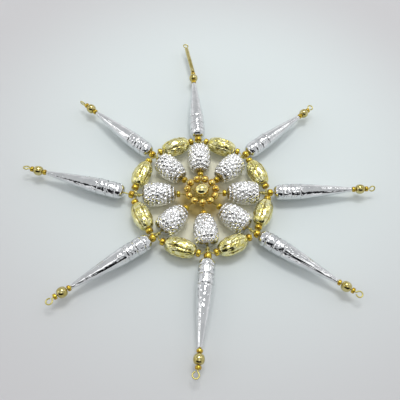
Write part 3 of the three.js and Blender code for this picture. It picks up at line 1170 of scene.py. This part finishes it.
@dataclass
class SeedBeads(SubAssembly):
    """The small amber seeds on the spokes and the rim. They sit tight on their wires."""

    inner: RoundBead = seed(SEED_LENGTH, SEED_DIAMETER)
    crossing: RoundBead = seed(CROSSING_LENGTH, CROSSING_DIAMETER)
    tip: RoundBead = seed(TIP_SEED_LENGTH, TIP_SEED_DIAMETER)
    rim: RoundBead = seed(RIM_SEED_LENGTH, RIM_SEED_DIAMETER)

    def build(self) -> list[Piece]:
        """Places all the seeds.

        Returns:
            The seeds.
        """
        round_mesh, large = self.inner.mesh("seed_round"), self.crossing.mesh("seed_large")
        small, wide = self.tip.mesh("seed_small"), self.rim.mesh("seed_wide")
        before_berry = (BEAD_GAP + SEED_LENGTH / 2) * MM
        past_bend = (BEAD_GAP + CROSSING_LENGTH / 2) * MM
        beside_ball = (BALL_LENGTH / 2 + BEAD_GAP + TIP_SEED_LENGTH / 2) * MM
        beside_oval = OVAL_LENGTH / 2 + BEAD_GAP + RIM_SEED_LENGTH / 2
        spots = []
        for number in range(1, SPOKES + 1):
            spoke = self.layout.spoke(number)
            along, ray_along = spoke.along, spoke.ray_along
            spots += [
                ("inner", round_mesh, spoke.berry_start - along * before_berry, along, number),
                ("crossing", large, spoke.bend + ray_along * past_bend, ray_along, number),
                ("before_ball", small, spoke.ball - ray_along * beside_ball, ray_along, number),
                ("after_ball", small, spoke.ball + ray_along * beside_ball, ray_along, number),
            ]
            _, rim_along = self.layout.line(f"oval_bead_{number}")
            spots += [(f"rim_{end.name.lower()}", wide,
                       self.layout.on_rim(number, end.value * beside_oval), rim_along, number)
                      for end in OvalEnd]
        return [self.paint.dress(
            placed(f"seed_{kind}_{number}", mesh, place, axis, count * GOLDEN_TURN),
            Tone.AMBER, ROOT_BODY) for count, (kind, mesh, place, axis, number) in enumerate(spots)]


# Wires


@dataclass
class SpokeWires(SubAssembly):
    """The four wires that cross at the hub. Each end is bent to an eye."""

    bend_room: float = 0.6
    eye_start: float = 150.0
    eye_end: float = -152.0
    eye_steps: int = 30

    def eye(self, neck: Vector, along: Vector, roll: float) -> list[Vector]:
        """Gives the round eye at a wire's end.

        Args:
            neck: Where the eye starts, in millimetres.
            along: The wire's direction there.
            roll: Turn of the eye about that direction, in radians.

        Returns:
            Points in millimetres.
        """
        side = to_the_left(along).normalized()
        side.rotate(Matrix.Rotation(roll, 3, along))
        centre = neck + along * (EYE_RADIUS + SPOKE_WIRE / 2)
        sweep = self.eye_end - self.eye_start
        turns = [math.radians(self.eye_start + sweep * i / self.eye_steps)
                 for i in range(self.eye_steps + 1)]
        return [centre + along * EYE_RADIUS * math.cos(turn) + side * EYE_RADIUS * math.sin(turn)
                for turn in turns]

    def half(self, number: int, height: float) -> list[Vector]:
        """Gives half a wire from the hub to its eye.

        Args:
            number: The spoke.
            height: How far the wire lies above the spokes' plane at the hub, in millimetres.

        Returns:
            Points in millimetres.
        """
        spoke, hub = self.layout.spoke(number), self.layout.hub / MM
        tip, eye_along = spoke.tip / MM, spoke.ray_along.copy()
        eye_along.rotate(Matrix.Rotation(math.radians(EYE_LEANS[number - 1]), 3, "Z"))
        to_neck = EYE_NECK
        if number == 1:
            tube_start, eye_along = self.layout.line("hanger_tube")
            tip = tube_start / MM - eye_along * BEAD_GAP
            to_neck += BEAD_GAP + TUBE_LENGTH
        neck = tip + eye_along * to_neck
        corners = [hub + spoke.along * HUB_STRAIGHT + UP * height,
                   hub + spoke.along * HUB_SLOPE_END, spoke.bend / MM, tip, neck]
        roll = math.radians(EYE_ROLLS[number - 1])
        return [*softened(corners, self.bend_room), *self.eye(neck, eye_along, roll)]

    def build(self) -> list[Piece]:
        """Places the four wires.

        Returns:
            The wires.
        """
        wires = []
        for number in range(1, SPOKES // 2 + 1):
            height = HUB_TOP_WIRE - (number - 1) * (SPOKE_WIRE + WIRE_GAP)
            near, far = self.half(number, height), self.half(number + SPOKES // 2, height)
            wires.append(self.wire(f"spoke_wire_{number}", [*reversed(near), *far], SPOKE_WIRE,
                                   f"cross_wire_{number}"))
        return wires


@dataclass
class RimWires(SubAssembly):
    """The wires of the rim. Each carries an oval and two seeds and winds round two spokes."""

    past_seed: float = 0.45
    bend_room: float = 0.5
    winds: float = 1.6
    wind_steps: int = 24
    wind_pitch: float = 0.56
    wind_gap: float = 0.05

    def winding(self, centre: Vector, along: Vector, across: Vector, onward: float) -> list[Vector]:
        """Gives the turns round a spoke, from where the run lands to the cut end.

        Args:
            centre: The spoke's point at the landing, in metres.
            along: The spoke's direction.
            across: From the spoke towards the landing.
            onward: Which way along the spoke the turns go, 1 or -1.

        Returns:
            Points in metres.
        """
        radius = (SPOKE_WIRE / 2 + RIM_WIRE / 2 + self.wind_gap) * MM
        points = []
        for i in range(int(self.wind_steps * self.winds) + 1):
            turn = -i * 2 * math.pi / self.wind_steps
            shift = onward * self.wind_pitch * i / self.wind_steps * MM
            edge = across * math.cos(turn) + UP * math.sin(turn)
            points.append(centre + along * shift + edge * radius)
        return points

    def build(self) -> list[Piece]:
        """Places the rim's wires.

        Returns:
            The wires.
        """
        wires = []
        to_bend = OVAL_LENGTH / 2 + BEAD_GAP + RIM_SEED_LENGTH + self.past_seed
        for number in range(1, SPOKES + 1):
            own, after = self.layout.spoke(number), self.layout.spoke(number % SPOKES + 1)
            start = self.winding(own.inner_hook, own.along, -to_the_left(own.along), -1.0)
            finish = self.winding(after.outer_hook, after.along, to_the_left(after.along), 1.0)
            bends = [self.layout.on_rim(number, end.value * to_bend) for end in OvalEnd]
            stations = [point / MM for point in [*reversed(start), *bends, *finish]]
            first, past = len(start) - 1, len(start) + 3
            run = softened(stations[first:past], self.bend_room)
            line = [*stations[:first], *run, *stations[past:]]
            wires.append(self.wire(f"rim_tie_{number}", line, RIM_WIRE, f"rim_wire_{number}"))
        return wires


@dataclass
class HubCluster(SubAssembly):
    """The ring of small amber beads, the ball in its middle, and the wires that hold them."""

    beads: int = 11
    bead: RoundBead = RoundBead(3.0, diameter=3.2, mouth=0.62, power=2.1, steps=22, columns=32)
    ball: RoundBead = RoundBead(5.8, diameter=5.8, mouth=0.8, power=2.0, steps=36, columns=56)
    ball_roll: float = 0.4
    ring_steps: int = 96
    ring_room: float = 0.3
    tail_start: float = 0.3
    tail_drop: float = 0.4
    seat_gap: float = 0.3
    binding_wire: float = 0.4
    binding_room: float = 0.35
    binding_cut: float = 0.6
    binding_slope: float = 0.9

    def build_beads(self) -> tuple[list[Piece], Vector, float]:
        """Places the ring's beads.

        Returns:
            The beads, the ring's middle in metres, and the radius of its wire in millimetres.
        """
        mesh = self.bead.mesh("amber_round")
        centres = []
        for number in range(1, self.beads + 1):
            low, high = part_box(f"hub_bead_{number}")
            centres.append((low + high) / 2)
        middle = sum(centres, Vector()) / self.beads
        pieces = []
        for number, centre in enumerate(centres, start=1):
            axis = to_the_left(centre - middle)
            piece = placed(f"amber_round_{number}", mesh, centre, axis, number * GOLDEN_TURN)
            node = f"hub_bead_{number}"
            pieces.append(self.paint.dress(piece, Tone.DEEP_AMBER, ROOT_BODY, [node]))
        return pieces, middle, (centres[0] - middle).length / MM / math.cos(math.pi / self.beads)

    def build_loop(self, middle: Vector, radius: float) -> Piece:
        """Places the ring's wire, whose tail goes down and under the first spoke.

        Args:
            middle: The ring's middle, in metres.
            radius: The loop's radius, in millimetres.

        Returns:
            The wire.
        """
        first = self.layout.spoke(1).along
        second = to_the_left(first)
        centre = middle / MM
        beside = SPOKE_WIRE / 2 + WIRE_GAP + RING_WIRE / 2
        drop = (middle.z - self.layout.hub.z) / MM + beside
        outside = radius + self.bead.diameter / 2 + RING_WIRE / 2
        turns = [2 * math.pi * i / self.ring_steps for i in range(self.ring_steps + 1)]
        loop = [centre + (first * math.cos(turn) + second * math.sin(turn)) * radius
                for turn in turns]
        tail = [(outside - self.tail_start, 0.0, 0.0), (outside, beside / 2, -self.tail_drop),
                (outside, beside, beside - drop), (outside, beside / 2, -drop),
                (outside, -beside / 2, -drop)]
        corners = [centre + first * a + second * b + UP * c for a, b, c in tail]
        line = [*loop[:-1], *softened([loop[-1], *corners], self.ring_room)]
        return self.wire("ring_loop", line, RING_WIRE, "hub_ring_wire")

    def build_binding(self, centre: Vector, across: Vector) -> Piece:
        """Places the wire that goes through the ball's bore and under the crossed wires.

        Args:
            centre: The ball's middle, in metres.
            across: The direction of its bore.

        Returns:
            The wire.
        """
        hub_height = self.layout.hub.z / MM
        wire_radius = self.binding_wire / 2
        reach = self.ball.length / 2 + self.seat_gap + wire_radius
        crossed = (SPOKES // 2 - 1) * (SPOKE_WIRE + WIRE_GAP) + SPOKE_WIRE / 2
        under = HUB_TOP_WIRE - crossed - WIRE_GAP - wire_radius
        bore = centre.z / MM - hub_height
        half = [(self.binding_cut, under), (reach - self.binding_slope, under),
                (reach, under + self.binding_slope), (reach, bore - self.binding_cut),
                (reach - self.binding_room, bore)]
        base = Vector((centre.x / MM, centre.y / MM, hub_height))
        right = [base + across * x + UP * z for x, z in half]
        left = [base - across * x + UP * z for x, z in reversed(half)]
        line = softened([*right, *left], self.binding_room)
        return self.wire("binding_loop", line, self.binding_wire, "centre_binding_wire")

    def build(self) -> list[Piece]:
        """Places the ring, its wire, the middle ball and its binding wire.

        Returns:
            The pieces.
        """
        beads, middle, radius = self.build_beads()
        loop = self.build_loop(middle, radius)
        low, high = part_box("centre_ball")
        centre = (low + high) / 2
        across = (self.layout.spoke(2).along + self.layout.spoke(3).along).normalized()
        ball = placed("middle_ball", self.ball.mesh("middle_ball"), centre, across, self.ball_roll)
        self.paint.dress(ball, Tone.WARM_GOLD, ROOT_BODY, ["centre_ball"])
        return [*beads, loop, ball, self.build_binding(centre, across)]


# Stage


@dataclass(frozen=True)
class Patch:
    """A round patch of the surroundings that the glass mirrors. All its sizes are degrees."""

    bearing: float
    elevation: float
    radius: float
    edge: float
    colour: Colour


@dataclass(frozen=True)
class PaintedLightPool:
    """A round pool of painted light and shade on the floor about the hub, in metres."""

    inner: float
    outer: float
    colour: Colour
    right: float = 0.0
    back: float = 0.0


@dataclass
class Studio:
    """Floor with painted pools of light and shade, soft overhead lamp, grey room and the camera."""

    layout: Layout
    groups: Groups
    elevation: float = 57.33
    distance: float = 203.74
    focal_pixels: float = 475.58
    target: tuple[float, float] = (-0.84, -3.43)
    azimuth: float = 8.73
    roll: float = 5.99
    sensor: float = 36.0
    frame_pixels: int = 400
    clip_start: float = 0.005
    floor_size: float = 6.0
    floor_roughness: float = 0.8
    floor_far: Colour = (0.62, 0.615, 0.625)
    # Painted light on the floor: a painted pool of light under the star, painted warm light
    # reflected from the gold beads inside the ring, and a painted amber shadow under the hub.
    painted_light_pools: tuple[PaintedLightPool, ...] = (
        PaintedLightPool(0.05, 0.15, (0.75, 0.81, 0.81), right=0.015, back=0.035),
        PaintedLightPool(0.018, 0.0345, (0.96, 0.94, 0.77)),
        PaintedLightPool(0.00675, 0.0144, (0.56, 0.43, 0.15)),
    )
    lamp_width: float = 0.42
    lamp_depth: float = 0.30
    lamp_place: tuple[float, float, float] = (0.06, 0.29, 0.9)
    lamp_power: float = 3.15
    room: Colour = (0.60, 0.61, 0.62)
    room_low: Colour = (0.97, 0.98, 0.99)
    wall_fade: tuple[float, float] = (0.05, 0.6)
    opening: Colour = (0.015, 0.015, 0.017)
    opening_side: tuple[float, float] = (0.45, 0.62)
    opening_foot: tuple[float, float] = (0.14, 0.24)
    opening_top: tuple[float, float] = (0.70, 0.86)
    patches: tuple[Patch, ...] = (
        Patch(-92.0, 37.0, 10.0, 3.0, (1.7, 1.7, 1.7)),
        Patch(53.0, 41.0, 9.0, 3.0, (1.7, 1.7, 1.7)),
        Patch(160.0, 69.0, 11.0, 3.0, (1.5, 1.5, 1.5)),
    )

    def direction(self, bearing: float, elevation: float) -> Vector:
        """Gives a direction from a bearing clockwise from straight ahead, and an elevation."""
        turn, rise = math.radians(self.azimuth + bearing), math.radians(elevation)
        return Vector((math.sin(turn) * math.cos(rise), math.cos(turn) * math.cos(rise),
                       math.sin(rise)))

    def build_camera(self) -> None:
        """Sets the camera where the photograph was taken from."""
        az, roll = math.radians(self.azimuth), math.radians(self.roll)
        forward = self.direction(0.0, -self.elevation)
        eye = self.layout.hub + Vector((*self.target, 0)) * MM - forward * self.distance * MM
        right = Vector((math.cos(az), -math.sin(az), 0))
        up = right.cross(forward)
        tilted_right = right * math.cos(roll) + up * math.sin(roll)
        tilted_up = up * math.cos(roll) - right * math.sin(roll)
        data = bpy.data.cameras.new("photo_camera")
        data.sensor_width = self.sensor
        data.lens = self.focal_pixels / self.frame_pixels * self.sensor
        data.clip_start = self.clip_start
        camera = loose("photo_camera", data)
        tilt = Matrix((tilted_right, tilted_up, -forward)).transposed().to_4x4()
        camera.matrix_world = Matrix.Translation(eye) @ tilt
        bpy.context.scene.camera = camera

    def build_floor(self) -> None:
        """Lays the pale floor, with a painted pool of light under the star and painted warm light
        from the gold beads inside the ring.
        """
        half = self.floor_size / 2
        mesh = bpy.data.meshes.new("floor")
        corners = [(-half, -half, 0), (half, -half, 0), (half, half, 0), (-half, half, 0)]
        mesh.from_pydata(corners, [], [(0, 1, 2, 3)])
        material, tree, shader = blank_material("finish_floor")
        hub, shown = self.layout.hub, self.floor_far
        # Each pool mixes its painted tone of light and shade into the floor's colour.
        for pool in self.painted_light_pools:
            mask = self.groups.use(tree, self.groups.pool, Inner=pool.inner, Outer=pool.outer,
                                   X=hub.x + pool.right, Y=hub.y + pool.back)["Mask"]
            shown = mixed(tree, mask, shown, pool.colour)
        feed(shader, {"Base Color": shown, "Roughness": self.floor_roughness})
        mesh.materials.append(material)
        loose("floor", mesh)

    def build_lamp(self) -> None:
        """Hangs one wide soft lamp over the star, to the back."""
        data = bpy.data.lights.new("overhead", "AREA")
        data.shape = "ELLIPSE"
        data.size, data.size_y = self.lamp_width, self.lamp_depth
        data.energy = self.lamp_power
        loose("overhead", data).location = self.lamp_place

    def facing(self, tree: Tree, way: Socket, towards: Vector) -> Socket:
        """Adds the cosine between the looked-at direction and a fixed one."""
        node = add_node(tree, "VectorMath", {0: way, 1: towards}, operation="DOT_PRODUCT")
        return node.outputs["Value"]

    def build_world(self) -> None:
        """Makes the room that the glass mirrors: pale low walls, a dark open front, patches."""
        world = bpy.data.worlds.new("surroundings")
        bpy.context.scene.world = world
        world.use_nodes = True
        tree = world.node_tree
        way = add_node(tree, "TexCoord").outputs["Generated"]
        height = add_node(tree, "SeparateXYZ", {0: way}).outputs["Z"]
        wall = mixed(tree, soft_step(tree, height, *self.wall_fade), self.room_low, self.room)
        ahead = self.facing(tree, way, self.direction(180.0, 0.0))
        front = soft_step(tree, ahead, *self.opening_side)
        over = soft_step(tree, height, *self.opening_foot)
        under = soft_step(tree, height, *self.opening_top, falls=True)
        shown = mixed(tree, times(tree, times(tree, front, over), under), wall, self.opening)
        for patch in self.patches:
            near = self.facing(tree, way, self.direction(patch.bearing, patch.elevation))
            rim = math.cos(math.radians(patch.radius + patch.edge))
            core = math.cos(math.radians(patch.radius))
            shown = mixed(tree, soft_step(tree, near, rim, core), shown, patch.colour)
        feed(tree.nodes["Background"], {"Color": shown})

    def build(self) -> None:
        """Builds the whole stage, for colours that stay as they are made."""
        for step in (self.build_camera, self.build_floor, self.build_lamp, self.build_world):
            step()
        bpy.context.scene.view_settings.view_transform = "Standard"


SUB_ASSEMBLIES: tuple[type[SubAssembly], ...] = (
    BerryBeads, RayBeads, OvalBeads, TipBalls, TubeBead, SpokeWires, RimWires, SeedBeads,
    HubCluster)


def main() -> None:
    """Builds the stage and every piece."""
    logging.basicConfig(level=logging.INFO, format="%(message)s")
    layout, paint = Layout(), Paint()
    Studio(layout, paint.groups).build()
    for kind in SUB_ASSEMBLIES:
        for piece in kind(layout, paint).build():
            LOG.info("%s: %s", kind.__name__, piece.name)


if __name__ == "__main__":
    main()
